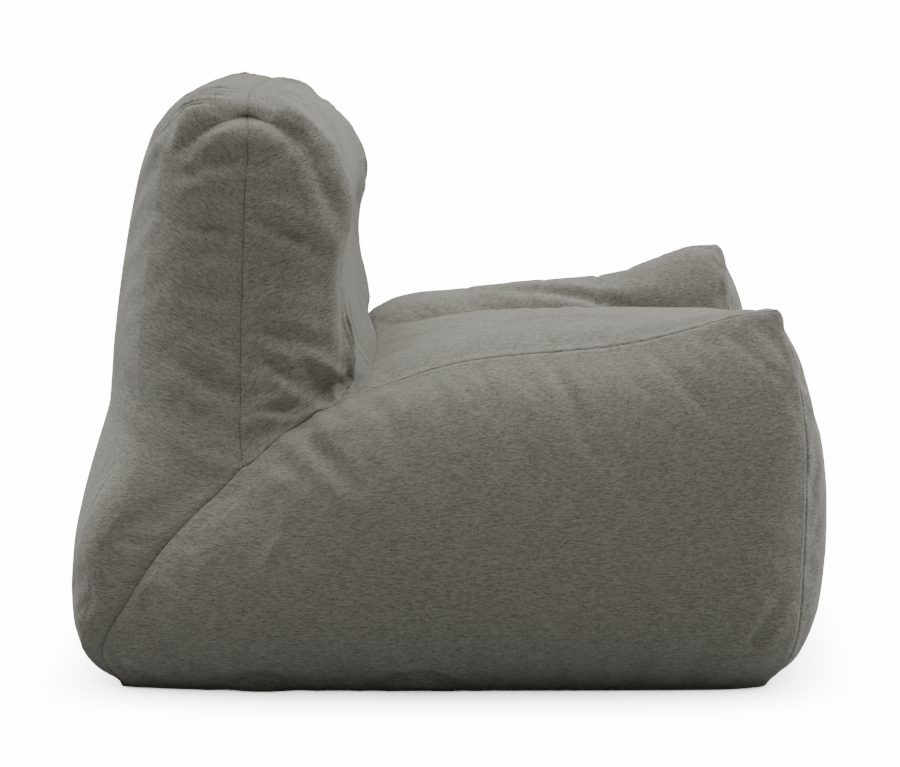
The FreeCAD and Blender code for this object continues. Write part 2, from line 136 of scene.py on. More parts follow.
CREASE_FRONT_LEFT = (-CREASE_FRONT[0], *CREASE_FRONT[1:])
CREASE_REAR_LEFT = (-CREASE_REAR[0], *CREASE_REAR[1:])

side_hem = seam(FRONT_FOOT, HEEL, ALONG_SIDE, (0.1, (-0.015, 0, 0)), (0.5, (-0.02, 0, 0)),
                (0.85, (-0.015, 0, 0)))
front_seam = seam(
    FRONT_FOOT, ARM_TIP, UP_SIDE_LOW + UP_SIDE_HIGH, (0.1, (-0.03, -0.025, 0)),
    (0.25, (-0.04, -0.035, 0)), (0.6, (-0.045, -0.035, 0.01)), (0.85, (-0.03, -0.02, 0)),
    (0.95, (-0.01, -0.005, 0)))
arm_seam = seam(ARM_TIP, ARM_ROOT, ALONG_SIDE, (0.1, (-0.003, 0, 0.005)), (0.35, (-0.01, 0, 0)),
                (0.7, (-0.01, 0, 0.02)), (0.9, (-0.005, 0, 0.01)))
heel_seam = seam(HEEL, TEE, UP_SIDE_LOW, (0.15, (-0.025, 0.045, 0.01)), (0.4, (-0.035, 0.05, 0)),
                 (0.7, (-0.025, 0.035, 0)))
root_seam = seam(TEE, ARM_ROOT, UP_SIDE_HIGH, (0.5, (-0.005, 0.005, 0.005)))
crown_seam = seam(
    TEE, CROWN, UP_BACKREST, (0.1, (0.01, 0.005, 0)), (0.35, (0.01, 0.005, 0)),
    (0.7, (-0.01, 0, 0)), (0.9, (-0.015, -0.005, 0.01)))
crease = seam(CREASE_FRONT, CREASE_REAR, ALONG_SIDE, (0.25, (0.01, 0, 0)), (0.5, (0.015, 0, 0.005)),
              (0.8, (0.005, 0, 0.005)))
tip_seam = seam(ARM_TIP, CREASE_FRONT, ACROSS_ARM, (0.3, (0, -0.002, 0.02)),
                (0.65, (0, -0.002, 0.015)))
arm_rear = seam(ARM_ROOT, CREASE_REAR, ACROSS_ARM, (0.35, (0, 0, 0.007)), (0.7, (0, 0, 0.004)))
seat_front = seam(CREASE_FRONT, CREASE_FRONT_LEFT, SEAT_COLUMNS, (0.25, (0, -0.02, 0.01)),
                  (0.5, (0, -0.025, 0.01)), (0.75, (0, -0.02, 0.01)))
seat_rear = seam(CREASE_REAR, CREASE_REAR_LEFT, SEAT_COLUMNS, (0.5, (0, -0.005, 0.01)))
front_hem = seam(FRONT_FOOT, (-FRONT_FOOT[0], *FRONT_FOOT[1:]), FRONT_COLUMNS,
                 (0.1, (0, -0.015, 0)), (0.5, (0, -0.025, 0)), (0.9, (0, -0.015, 0)))


def joined(*curves):
    """Curves laid end to end, without repeating the places where they meet."""
    parts = [curves[0]] + [curve[1:] for curve in curves[1:]]
    return np.vstack(parts)


def filled(low, high, left, right):
    """A four-sided sheet between its edges. low and high run along u, left and right up v."""
    u = np.linspace(0, 1, len(low))[:, None, None]
    v = np.linspace(0, 1, len(left))[None, :, None]
    ruled_v = (1 - v) * low[:, None, :] + v * high[:, None, :]
    ruled_u = (1 - u) * left[None, :, :] + u * right[None, :, :]
    corners = ((1 - u) * (1 - v) * low[0] + u * (1 - v) * low[-1]
               + (1 - u) * v * high[0] + u * v * high[-1])
    return ruled_v + ruled_u - corners


def swell(sheet, push, fullness_u=0.5, fullness_v=0.5, droop=1.0):
    """Pushes the middle of a sheet out by a vector. A smaller fullness fills it nearer the
    edges, and a droop under 1 puts the fullest part lower."""
    u = np.linspace(0, 1, sheet.shape[0])[:, None]
    v = np.linspace(0, 1, sheet.shape[1])[None, :] ** droop
    dome = (4 * u * (1 - u)) ** fullness_u * (4 * v * (1 - v)) ** fullness_v
    return sheet + dome[:, :, None] * np.array(push, float)


side = filled(side_hem, arm_seam, front_seam, joined(heel_seam, root_seam))
side = swell(side, (-0.052, 0, 0), 0.50, 0.50)

arm_top = filled(arm_seam, crease, tip_seam, arm_rear)
arm_top = swell(arm_top, (-0.002, 0, 0.042), 0.45, 0.70, 1.5)

seat = filled(crease, mirrored(crease), seat_front, seat_rear)
seat = swell(seat, (0, 0, 0.030), 0.4, 0.30)

front_top = joined(tip_seam, seat_front, mirrored(tip_seam)[::-1])
front = filled(front_hem, front_top, front_seam, mirrored(front_seam))
front = swell(front, (0, -0.037, 0), 0.60, 0.85, 0.80)

# The two panels round the backrest follow level sections. Each column of cloth has a heading
# from the side seam (0) to the middle of the chair (1).
headings = np.radians(np.concatenate([
    np.linspace(0, 38, UP_SIDE_HIGH, endpoint=False),
    np.linspace(38, 64, ACROSS_ARM, endpoint=False),
    np.linspace(64, 90, ACROSS_HALF_SEAT + 1)]))[:, None]

BROW_DROP = 0.06
top_middle = (crown_high[1], rear_high[2] - 0.008)
brow = (crown_low[1] + 0.035, rear_high[2] - BROW_DROP)
valley = (crown_low[1] - 0.02, arm_low[2])
waist = (rear_high[1] - 0.035, (arm_low[2] + crown_low[2]) / 2)
shoulder = (rear_high[1] - 0.09, rear_high[2] - BROW_DROP)
rear_foot = (rear_high[1] - 0.06, FOOT_LIFT)
front_profile = joined(
    seam(valley, brow, round(UP_BACKREST * 0.8), (0.15, (0.02, 0)), (0.5, (0.02, 0)),
         (0.75, (-0.01, 0))),
    seam(brow, top_middle, UP_BACKREST - round(UP_BACKREST * 0.8), (0.5, (-0.01, 0.015))))
rear_profile = joined(
    seam(top_middle, shoulder, round(UP_BACKREST * 0.3), (0.5, (0.02, 0.02))),
    seam(shoulder, waist, UP_BACKREST - round(UP_BACKREST * 0.3), (0.35, (0.01, 0)),
         (0.7, (0.01, 0))),
    seam(waist, rear_foot, UP_SIDE_LOW, (0.3, (0.035, 0)), (0.6, (0.05, -0.01)),
         (0.85, (0.045, 0))))


def ease(amount):
    """Runs smoothly from 0 to 1 as amount does."""
    amount = np.clip(amount, 0, 1)
    return amount * amount * (3 - 2 * amount)


def wrapped(seam, profile, squareness):
    """Rows of cloth from the side seam round the corner to the middle of the chair. Each row has
    a squareness: 2 is an ellipse, and a large one is nearly a box."""
    across = np.clip(np.cos(headings), 0, 1) ** (2 / squareness)
    across[-1] = 0
    ahead = np.sin(headings) ** (2 / squareness)
    rows = np.zeros((len(headings), len(seam), 3))
    rows[:, :, 0] = across * seam[None, :, 0]
    for axis, column in ((1, 0), (2, 1)):
        start = seam[None, :, axis]
        rows[:, :, axis] = start + (profile[None, :, column] - start) * ahead
    return rows


def both_halves(half):
    """A sheet drawn from the right seam to the middle, with its left half added."""
    return np.concatenate([half, (half * np.array([-1, 1, 1]))[::-1][1:]])


up = np.linspace(0, 1, UP_BACKREST + 1)
square_above = 3.4 + 1.2 * ease((up - 0.55) / 0.45)
down = np.linspace(0, 1, UP_SIDE_LOW + 1)[1:]
square_below = 3.4 + 4.2 * ease(down / 0.5) * (1 - 0.5 * ease((down - 0.80) / 0.20))
back_half = wrapped(
    joined(crown_seam[::-1], heel_seam[::-1]), rear_profile,
    np.concatenate([square_above[::-1], square_below]))
backrest_half = wrapped(crown_seam, front_profile, square_above)
# The front of the backrest stands forward in two lobes, with a shallow hollow between them.
LOBE_PLACE = 0.320
LOBE_WIDTH = 0.065
LOBE_FORWARD = 0.034
lobe = np.exp(-((np.abs(backrest_half[:, :, 0]) - LOBE_PLACE) / LOBE_WIDTH) ** 2)
lobe *= (ease(up / 0.18) * ease((1 - up) / 0.30))[None, :] * ease(headings / 0.5)
backrest_half[:, :, 1] -= LOBE_FORWARD * lobe
lower_edge = joined(root_seam, arm_rear, seat_rear[:ACROSS_HALF_SEAT + 1])
settle = np.clip(1 - up[None, :, None] / 0.30, 0, 1) ** 2
backrest_half = backrest_half + (lower_edge[:, None, :] - backrest_half[:, :1, :]) * settle
backrest = both_halves(backrest_half)
back = both_halves(back_half)

SHEETS = {
    "side_panel_right": side,
    "side_panel_left": mirrored(side),
    "arm_top_panel_right": arm_top,
    "arm_top_panel_left": mirrored(arm_top),
    "seat_panel": seat,
    "front_panel": front,
    "backrest_front_panel": backrest,
    "back_panel": back,
}


LEFT_ARM_SLUMP = 0.022
LEFT_SHOULDER_SLUMP = 0.022


def slumped(places):
    """The left arm sits a little lower than the right one in the middle of its length, and so
    does the front of the left shoulder."""
    x, y, z = places.T
    drop = (LEFT_ARM_SLUMP * ease((x - 0.12) / 0.22) * ease((z - 0.25) / 0.15)
            * ease((0.10 - y) / 0.12) * ease((y + 0.37) / 0.16) * (z < 0.55))
    drop += (LEFT_SHOULDER_SLUMP * ease((x - 0.05) / 0.25) * ease((z - 0.55) / 0.15)
             * ease((0.33 - y) / 0.10))
    return places - drop[:, None] * np.array([0, 0, 1])


def sheet_faces(columns, rows, first):
    """Four-sided faces of a sheet whose vertices start at number first."""
    faces = []
    for u in range(columns - 1):
        for v in range(rows - 1):
            a = first + u * rows + v
            faces.append((a, a + rows, a + rows + 1, a + 1))
    return faces


# All sheets go into one mesh. Each face keeps its panel's number and its place on the cloth, in
# metres along the threads, and vertices on a seam are merged.
places = []
faces = []
panel_of_face = []
thread_places = []
for number, sheet in enumerate(SHEETS.values()):
    columns, rows = sheet.shape[:2]
    new_faces = sheet_faces(columns, rows, sum(len(part) for part in places))
    places.append(slumped(sheet.reshape(-1, 3)))
    faces += new_faces
    panel_of_face += [number] * len(new_faces)
    along_u = np.linalg.norm(np.diff(sheet, axis=0), axis=2).mean(axis=1)
    along_v = np.linalg.norm(np.diff(sheet, axis=1), axis=2).mean(axis=0)
    reach_u = np.concatenate([[0], np.cumsum(along_u)])
    reach_v = np.concatenate([[0], np.cumsum(along_v)])
    grid = np.stack(np.meshgrid(reach_u, reach_v, indexing="ij"), axis=2)
    thread_places.append(grid.reshape(-1, 2))
thread_places = np.concatenate(thread_places)

cover_mesh = bpy.data.meshes.new("cover")
cover_mesh.from_pydata(np.concatenate(places).tolist(), [], faces)
uv_layer = cover_mesh.uv_layers.new(name="cloth")
corner_vertices = np.zeros(len(cover_mesh.loops), int)
cover_mesh.loops.foreach_get("vertex_index", corner_vertices)
uv_layer.data.foreach_set("uv", thread_places[corner_vertices].ravel())
panel_layer = cover_mesh.attributes.new("panel", "INT", "FACE")
panel_layer.data.foreach_set("value", panel_of_face)

shell = bmesh.new()
shell.from_mesh(cover_mesh)
bmesh.ops.remove_doubles(shell, verts=shell.verts, dist=0.00005)
bmesh.ops.recalc_face_normals(shell, faces=shell.faces)
middle = Vector((0, 0, 0.25))
outward = sum(face.normal.dot(face.calc_center_median() - middle) for face in shell.faces)
if outward < 0:
    bmesh.ops.reverse_faces(shell, faces=shell.faces)
shell.to_mesh(cover_mesh)
shell.free()


def linked(name, data):
    """A new object with this mesh or light, in the scene."""
    piece = bpy.data.objects.new(name, data)
    bpy.context.collection.objects.link(piece)
    return piece


cover = linked("cover", cover_mesh)


# ---------------------------------------------------------------------------------------------
# Filling the cover. The beads press the cloth out between its seams. Each panel is cut a little
# longer than the seams that hold it, so it gathers along them and folds where the bag bends.
# ---------------------------------------------------------------------------------------------
BEAD_PRESSURE = 4
SPARE_CLOTH = 0.04
PRESS_FRAMES = 20
EVENING_ROUNDS = 60
LARGEST_FOLD = 0.016
FULLER = 0.12
LIVELINESS = {"side": 0.75, "arm_top": 0.90, "seat": 0.90, "front": 0.85, "backrest": 1.0, "back": 0.9}
ZIP_LINE = 0.110
ZIP_REACH = 0.334
ZIP_FLAT = 0.030
ZIP_EASE = 0.050
REAR_FACE = 0.4905


def vertex_places(mesh):
    """A mesh's vertices as rows of x, y and z."""
    flat = np.zeros(len(mesh.vertices) * 3)
    mesh.vertices.foreach_get("co", flat)
    return flat.reshape(-1, 3)


def set_places(mesh, places):
    """Moves a mesh's vertices to rows of x, y and z."""
    mesh.vertices.foreach_set("co", places.ravel())
    mesh.update()


def vertex_normals(mesh):
    """The direction that each vertex of a mesh faces."""
    return np.array([normal.vector[:] for normal in mesh.vertex_normals])


def edge_ends(mesh):
    """The two vertices of every edge."""
    flat = np.zeros(len(mesh.edges) * 2, int)
    mesh.edges.foreach_get("vertices", flat)
    return flat.reshape(-1, 2)


def evened(values, ends, rounds, held=None):
    """Values on vertices, evened out with their neighbours. Held vertices keep theirs."""
    count = len(values)
    neighbours = np.bincount(ends.ravel(), minlength=count)[:, None]
    kept = values.copy()
    for _ in range(rounds):
        total = np.stack([
            np.bincount(ends[:, 0], values[ends[:, 1], axis], count)
            + np.bincount(ends[:, 1], values[ends[:, 0], axis], count)
            for axis in range(values.shape[1])], 1)
        values = 0.5 * values + 0.5 * total / neighbours
        if held is not None:
            values[held] = kept[held]
    return values


def only(piece):
    """Selects one object and nothing else."""
    bpy.ops.object.select_all(action="DESELECT")
    piece.select_set(True)
    bpy.context.view_layer.objects.active = piece


def apply_modifier(piece, name):
    """Makes a modifier's result the piece's own mesh."""
    only(piece)
    bpy.ops.object.modifier_apply(modifier=name)


def face_numbers(mesh):
    """The panel number of every face."""
    numbers = np.zeros(len(mesh.polygons), int)
    mesh.attributes["panel"].data.foreach_get("value", numbers)
    return numbers


def corners_of_faces(mesh):
    """The four vertices of every face."""
    flat = np.zeros(len(mesh.loops), int)
    mesh.loops.foreach_get("vertex_index", flat)
    return flat.reshape(-1, 4)


def face_sides(corners):
    """The two ends of every face's four sides: all the first sides, then the second ones."""
    return np.concatenate([corners[:, [0, 1]], corners[:, [1, 2]],
                           corners[:, [2, 3]], corners[:, [3, 0]]])


def seam_mask(mesh):
    """Which vertices lie on a seam, where two panels or a panel and the base meet."""
    corners = corners_of_faces(mesh)
    numbers = np.repeat(face_numbers(mesh), 4)
    lowest = np.full(len(mesh.vertices), 99)
    highest = np.full(len(mesh.vertices), -1)
    np.minimum.at(lowest, corners.ravel(), numbers)
    np.maximum.at(highest, corners.ravel(), numbers)
    ends = np.sort(face_sides(corners), axis=1)
    codes, times = np.unique(ends[:, 0] * len(mesh.vertices) + ends[:, 1], return_counts=True)
    single = codes[times == 1]
    mask = lowest != highest
    mask[single // len(mesh.vertices)] = True
    mask[single % len(mesh.vertices)] = True
    return mask


def press_out(piece, on_seam):
    """Runs the cloth for a moment with its seams held and the beads pressing from inside."""
    held = piece.vertex_groups.new(name="sewn")
    held.add(np.flatnonzero(on_seam).tolist(), 1.0, "REPLACE")
    cloth = piece.modifiers.new("cloth", "CLOTH")
    cloth.settings.quality = 4
    cloth.settings.mass = 0.25
    cloth.settings.tension_stiffness = 12
    cloth.settings.compression_stiffness = 12
    cloth.settings.shear_stiffness = 6
    cloth.settings.bending_stiffness = 0.15
    cloth.settings.use_pressure = True
    cloth.settings.uniform_pressure_force = BEAD_PRESSURE
    cloth.settings.vertex_group_mass = "sewn"
    cloth.settings.shrink_min = -SPARE_CLOTH
    cloth.settings.effector_weights.gravity = 0
    cloth.collision_settings.use_collision = False
    cloth.point_cache.frame_start = 1
    cloth.point_cache.frame_end = PRESS_FRAMES
    for frame_number in range(1, PRESS_FRAMES + 1):
        bpy.context.scene.frame_set(frame_number)
    apply_modifier(piece, "cloth")
    piece.vertex_groups.clear()
    bpy.context.scene.frame_set(1)


# The shoulder, where the side seam turns over the top, is sewn with its corner rounded off.
SHOULDER_REACH = 0.070
SHOULDER_ROUNDS = 40
flat_places = vertex_places(cover_mesh)
shoulder = np.abs(flat_places) - np.abs(np.array(CROWN))
shoulder = ease(1 - np.linalg.norm(shoulder, axis=1) / SHOULDER_REACH)[:, None]
rounded = evened(flat_places, edge_ends(cover_mesh), SHOULDER_ROUNDS)
flat_places += (rounded - flat_places) * shoulder
set_places(cover_mesh, flat_places)

plain_cover = cover_mesh.copy()
before = vertex_places(cover_mesh)
on_seam = seam_mask(cover_mesh)
press_out(cover, on_seam)
moved = vertex_places(cover_mesh) - before
broad = evened(moved * ~on_seam[:, None], edge_ends(cover_mesh), EVENING_ROUNDS, on_seam)
lively = np.ones(len(before))
panel_names = list(SHEETS)
panel_kinds = [name.replace("_panel", "").replace("_right", "").replace("_left", "")
               .replace("backrest_front", "backrest") for name in panel_names]
for number, kind in enumerate(panel_kinds):
    lively[corners_of_faces(cover_mesh)[face_numbers(cover_mesh) == number]] = LIVELINESS[kind]
creases = (moved - broad) * lively[:, None] + broad * FULLER
size = np.linalg.norm(creases, axis=1, keepdims=True)
creases = creases * (LARGEST_FOLD * np.tanh(size / LARGEST_FOLD) / np.maximum(size, 1e-9))


def zip_closeness(places):
    """1 along the zip, where the cloth is held flat, and 0 a few centimetres away."""
    beside = np.maximum(np.abs(places[:, 0]) - ZIP_REACH, 0) / ZIP_EASE
    above = np.maximum(np.abs(places[:, 2] - ZIP_LINE) - ZIP_FLAT, 0) / ZIP_EASE
    return ease(1 - np.hypot(beside, above)) * (places[:, 1] > 0.4)


top_calm = 1 - 0.55 * ease((before[:, 2:3] - 0.66) / 0.06)
creases *= (1 - zip_closeness(before)[:, None]) * (1 - 0.9 * shoulder) * top_calm
set_places(cover_mesh, before + creases)
finer = cover.modifiers.new("finer", "SUBSURF")
finer.levels = 1
finer.render_levels = 1
apply_modifier(cover, "finer")

# The folds that a hand leaves when the bag is set down. Each is a shallow arc near a landmark on
# the bag's side: the places (y, z) of its middle, its length, its lean up towards the rear in
# degrees, its sag, its width, its depth and the height of the ridge beside it.
TOP = np.array([crown_high[1], rear_high[2]])
ROOT = np.array([arm_high[1], arm_low[2]])
WAIST = np.array([rear_high[1], arm_low[2]])
FLOOR_LINE = np.array([0, 0])
FOLDS = [
    (TOP + (0, -0.09), 0.18, 0, 0.065, 0.015, 0.020, 0.0),
    (TOP + (0, -0.07), 0.22, 0, 0.070, 0.017, -0.013, 0.0),
    (TOP + (-0.08, -0.03), 0.04, 40, 0, 0.008, 0.006, 0.5),
    (TOP + (0.10, -0.06), 0.05, -60, 0, 0.008, 0.006, 0.5),
    (TOP + (0.00, -0.09), 0.06, 10, 0.005, 0.010, 0.004, 0.6),
    (TOP + (0.06, -0.10), 0.08, -20, 0, 0.010, 0.005, 0.6),
    (TOP + (0.04, -0.17), 0.06, 0, 0, 0.008, 0.003, 0.6),
    (TOP + (-0.05, -0.18), 0.10, 30, 0.005, 0.010, 0.006, 0.8),
    (TOP + (-0.10, -0.13), 0.09, 65, 0, 0.010, 0.005, 0.5),
    (TOP + (0.05, -0.25), 0.10, 10, 0, 0.012, 0.004, 0.6),
    (TOP + (0.05, -0.36), 0.12, 30, 0, 0.012, 0.006, 0.6),
    (WAIST + (-0.09, 0), 0.08, 30, 0, 0.014, 0.006, 0.4),
    (ROOT + (0.03, 0.03), 0.07, 40, 0, 0.008, 0.009, 0.7),
    (ROOT + (0.05, 0.025), 0.11, 35, 0, 0.008, 0.008, 0.7),
    (ROOT + (0.065, 0.075), 0.08, 15, 0.005, 0.010, 0.006, 0.7),
    (ROOT + (0.08, -0.01), 0.05, 0, 0.005, 0.006, 0.004, 0.5),
    (ROOT + (-0.01, 0.11), 0.18, 90, 0, 0.010, 0.008, 0.5),
    (ROOT + (0.01, -0.06), 0.09, 40, 0, 0.010, 0.005, 0.6),
    (ROOT + (0.07, -0.08), 0.06, 0, 0.015, 0.010, 0.004, 0.6),
    (FLOOR_LINE + (0.25, 0.015), 0.10, 0, 0.015, 0.010, 0.007, 0.7),
    (FLOOR_LINE + (0.05, 0.015), 0.12, 0, 0.020, 0.008, 0.006, 0.7),
    (FLOOR_LINE + (-0.38, 0.10), 0.09, -60, 0, 0.008, 0.005, 0.5),
]
SEAT_FOLDS = [
    (np.array([-0.20, 0.27]), 0.26, 5, 0, 0.010, 0.008, 0.3),
    (np.array([-0.10, 0.12]), 0.30, 0, 0.02, 0.014, 0.006, 0.5),
    (np.array([-0.15, -0.05]), 0.30, 0, 0.02, 0.014, 0.005, 0.5),
    (np.array([-0.20, -0.18]), 0.25, 0, 0.01, 0.012, 0.005, 0.5),
]
SEAT_ZONE = 0.55
FOLD_STEPS = 24
LEFT_SHIFT = (0.01, -0.01)


def fold_moves(across, facing, middle, length, lean, sag, width, depth, ridge):
    """How far each vertex moves along its normal for one fold, drawn in the plane it faces."""
    turn = math.radians(lean)
    run = np.linspace(-1, 1, FOLD_STEPS + 1)[:, None]
    line = (middle + run * length / 2 * np.array([math.cos(turn), math.sin(turn)])
            + (1 - run ** 2) * sag * np.array([-math.sin(turn), math.cos(turn)]))
    low = line.min(axis=0) - 4 * width
    high = line.max(axis=0) + 4 * width
    near = (facing > 0) & (across > low).all(axis=1) & (across < high).all(axis=1)
    gaps = np.linalg.norm(across[near, None, :] - line[None, :, :], axis=2)
    closest = gaps.argmin(axis=1)
    gap = gaps.min(axis=1)
    strength = np.sin(np.pi * np.clip(closest / FOLD_STEPS, 0.04, 0.96)) ** 0.6
    shape = ridge * np.exp(-((gap - 2.1 * width) / width) ** 2) - np.exp(-(gap / width) ** 2)
    moves = np.zeros(len(across))
    moves[near] = depth * strength * facing[near] * shape
    return moves


places = vertex_places(cover_mesh)
normals = vertex_normals(cover_mesh)
pressed = np.zeros(len(places))
for flank, shift in ((-1, (0, 0)), (1, LEFT_SHIFT)):
    facing = ease((normals[:, 0] * flank + 0.05) / 0.45) * (places[:, 0] * flank > 0.10)
    for middle, *shape in FOLDS:
        pressed += fold_moves(places[:, 1:], facing, middle + np.array(shift), *shape)
facing = ease(normals[:, 2] / 0.4) * (places[:, 2] < SEAT_ZONE)
for middle, *shape in SEAT_FOLDS:
    pressed += fold_moves(places[:, [1, 0]], facing, middle, *shape)
places = places + normals * pressed[:, None]

# The cloth at the shoulder is too tight for sharp folds, so they are evened out there.
CALM_REACH = 0.045
CALM_ROUNDS = 14
to_crown = np.linalg.norm(np.abs(places) - np.abs(np.array(CROWN)), axis=1)
calm = ease(1.6 * (1 - to_crown / CALM_REACH))[:, None]
places += (evened(places, edge_ends(cover_mesh), CALM_ROUNDS) - places) * calm
closeness = zip_closeness(places)
places[:, 1] += (REAR_FACE - places[:, 1]) * closeness
places[:, 2] = np.maximum(places[:, 2], 0.002)
set_places(cover_mesh, places)


# ---------------------------------------------------------------------------------------------
# The eight panels above the base. Each is cut from woven cloth. Its edges turn in along the
# seams, where two allowances lie together inside the bag, and the seam shows as a narrow line.
# ---------------------------------------------------------------------------------------------
CLOTH_THICKNESS = 0.0012
EDGE_SET_BACK = 0.0011
SEAM_DEPTH = 0.0018
ALLOWANCE = 0.009
EDGE_LEAN = 0.0006
GATHER_ROUNDS = 7
GATHER_SHARE = 0.35

places = vertex_places(cover_mesh)
normals = vertex_normals(cover_mesh)
corners = corners_of_faces(cover_mesh)
numbers = face_numbers(cover_mesh)
cloth_places = np.zeros(len(cover_mesh.loops) * 2)
cover_mesh.uv_layers["cloth"].data.foreach_get("uv", cloth_places)
cloth_places = cloth_places.reshape(-1, 4, 2)
nearness = evened(seam_mask(cover_mesh)[:, None].astype(float), edge_ends(cover_mesh),
                  GATHER_ROUNDS)[:, 0]
nearness = np.clip(nearness / GATHER_SHARE, 0, 1)
face_centres = places[corners].mean(axis=1)


def cloth_panel(name, number):
    """One panel as its own object, with its seam allowances turned in."""
    chosen = numbers == number
    used, local = np.unique(corners[chosen], return_inverse=True)
    local = local.reshape(-1, 4)
    spots = places[used].copy()
    facing = normals[used]
    sides = face_sides(local)
    side_cloth = np.concatenate([cloth_places[chosen][:, [a, b]]
                                 for a, b in ((0, 1), (1, 2), (2, 3), (3, 0))])
    codes = np.sort(sides, axis=1) @ np.array([len(used), 1])
    _, first, times = np.unique(codes, return_index=True, return_counts=True)
    rim = first[times == 1]
    starts, ends = sides[rim].T
    rim_vertices = np.unique(starts)

    inward = np.zeros_like(spots)
    weight = np.zeros(len(used))
    for column in range(4):
        np.add.at(inward, local[:, column], face_centres[chosen])
        np.add.at(weight, local[:, column], 1)
    inward = inward / weight[:, None] - spots
    inward -= facing * (inward * facing).sum(axis=1, keepdims=True)
    inward /= np.maximum(np.linalg.norm(inward, axis=1, keepdims=True), 1e-9)

    count = len(used)
    order = np.full(count, -1)
    order[rim_vertices] = np.arange(len(rim_vertices))
    stitched = spots[rim_vertices] - facing[rim_vertices] * SEAM_DEPTH
    tucked = (spots[rim_vertices] - facing[rim_vertices] * ALLOWANCE
              + inward[rim_vertices] * EDGE_LEAN)
    spots[rim_vertices] += (inward * EDGE_SET_BACK)[rim_vertices]
    step = len(rim_vertices)
    a, b = starts, ends
    a1, b1 = count + order[starts], count + order[ends]
    a2, b2 = a1 + step, b1 + step
    flaps = np.concatenate([np.stack([b, a, a1, b1], 1), np.stack([b1, a1, a2, b2], 1)])
    flap_cloth = side_cloth[rim][:, [1, 0, 0, 1]]

    mesh = bpy.data.meshes.new(name)
    mesh.from_pydata(np.concatenate([spots, stitched, tucked]).tolist(), [],
                     np.concatenate([local, flaps]).tolist())
    layer = mesh.uv_layers.new(name="cloth")
    layer.data.foreach_set("uv", np.concatenate(
        [cloth_places[chosen], flap_cloth, flap_cloth]).ravel())
    gather = mesh.attributes.new("gather", "FLOAT", "POINT")
    gather.data.foreach_set("value", np.concatenate([nearness[used], np.ones(2 * step)]))
    mesh.shade_smooth()
    return linked(name, mesh)


def thicken(piece, thickness):
    """Gives a sheet of cloth its thickness, on the inside."""
    wall = piece.modifiers.new("wall", "SOLIDIFY")
    wall.thickness = thickness
    wall.offset = -1
    apply_modifier(piece, "wall")


cover_panels = {}
for number, name in enumerate(panel_names):
    cover_panels[name] = cloth_panel(name + "_cloth", number)

SLOT_LOW = (-0.328, 0.102)
SLOT_HIGH = (0.328, 0.118)
SLOT_ZONE = 0.03
REAR_ZONE = 0.47
ZIP_ZONE = 0.484
LIP_DEPTH = 0.0008
LIP_SPREAD = 0.0010


def cut_zip_slot(piece):
    """Opens the back panel along the zip and turns the edges of the opening in."""
    cloth = bmesh.new()
    cloth.from_mesh(piece.data)
    for axis, low, high in ((0, SLOT_LOW[0], SLOT_HIGH[0]), (2, SLOT_LOW[1], SLOT_HIGH[1])):
        for level in (low, high):
            point = Vector((0, 0, 0))
            point[axis] = level
            across = Vector((0, 0, 0))
            across[axis] = 1
            around = [face for face in cloth.faces
                      if face.calc_center_median().y > REAR_ZONE
                      and abs(face.calc_center_median().z - ZIP_LINE) < SLOT_ZONE]
            edges = {edge for face in around for edge in face.edges}
            corners_near = {corner for face in around for corner in face.verts}
            bmesh.ops.bisect_plane(cloth, geom=list(corners_near) + list(edges) + around,
                                   plane_co=point, plane_no=across, dist=0.0002)
    open_faces = []
    for face in cloth.faces:
        centre = face.calc_center_median()
        if (SLOT_LOW[0] < centre.x < SLOT_HIGH[0] and SLOT_LOW[1] < centre.z < SLOT_HIGH[1]
                and centre.y > ZIP_ZONE):
            open_faces.append(face)
    bmesh.ops.delete(cloth, geom=open_faces, context="FACES")
    lips = []
    for edge in cloth.edges:
        if edge.is_boundary:
            spot = (edge.verts[0].co + edge.verts[1].co) / 2
            if (abs(spot.x) < SLOT_HIGH[0] + 0.002 and abs(spot.z - ZIP_LINE) < 0.010
                    and spot.y > ZIP_ZONE):
                lips.append(edge)
    turned = bmesh.ops.extrude_edge_only(cloth, edges=lips)["geom"]
    for part in turned:
        if isinstance(part, bmesh.types.BMVert):
            part.co.y -= LIP_DEPTH
            part.co.z += math.copysign(LIP_SPREAD, part.co.z - ZIP_LINE)
    cloth.normal_update()
    cloth.to_mesh(piece.data)
    cloth.free()


cut_zip_slot(cover_panels["back_panel"])
for piece in cover_panels.values():
    thicken(piece, CLOTH_THICKNESS)


class Finish:
    """A material, made by adding nodes in front of its shader."""

    def __init__(self, name, color, roughness, **constants):
        self.material = bpy.data.materials.new(name)
        self.material.use_nodes = True
        self.tree = self.material.node_tree
        self.shader = self.tree.nodes["Principled BSDF"]
        self.shader.inputs["Base Color"].default_value = (*color, 1)
        self.shader.inputs["Roughness"].default_value = roughness
        self.material.diffuse_color = (*color, 1)
        for socket, value in constants.items():
            self.shader.inputs[socket.replace("_", " ")].default_value = value

    def node(self, kind, settings=None, values=None, output=0):
        """Adds a node. Settings are its own choices and values go to its sockets."""
        node = self.tree.nodes.new("ShaderNode" + kind)
        for name, value in (settings or {}).items():
            setattr(node, name, value)
        for socket, value in (values or {}).items():
            if isinstance(value, Value):
                self.tree.links.new(value.socket, node.inputs[socket])
            else:
                node.inputs[socket].default_value = value
        return Value(self, node.outputs[output])

    def feed(self, socket, value):
        """Links a value to the shader."""
        self.tree.links.new(value.socket, self.shader.inputs[socket])

    def blend(self, share, first, second):
        """A colour that goes from the first to the second as the share goes from 0 to 1."""
        return self.node("Mix", {"data_type": "RGBA"}, {0: share, 6: first, 7: second}, 2)


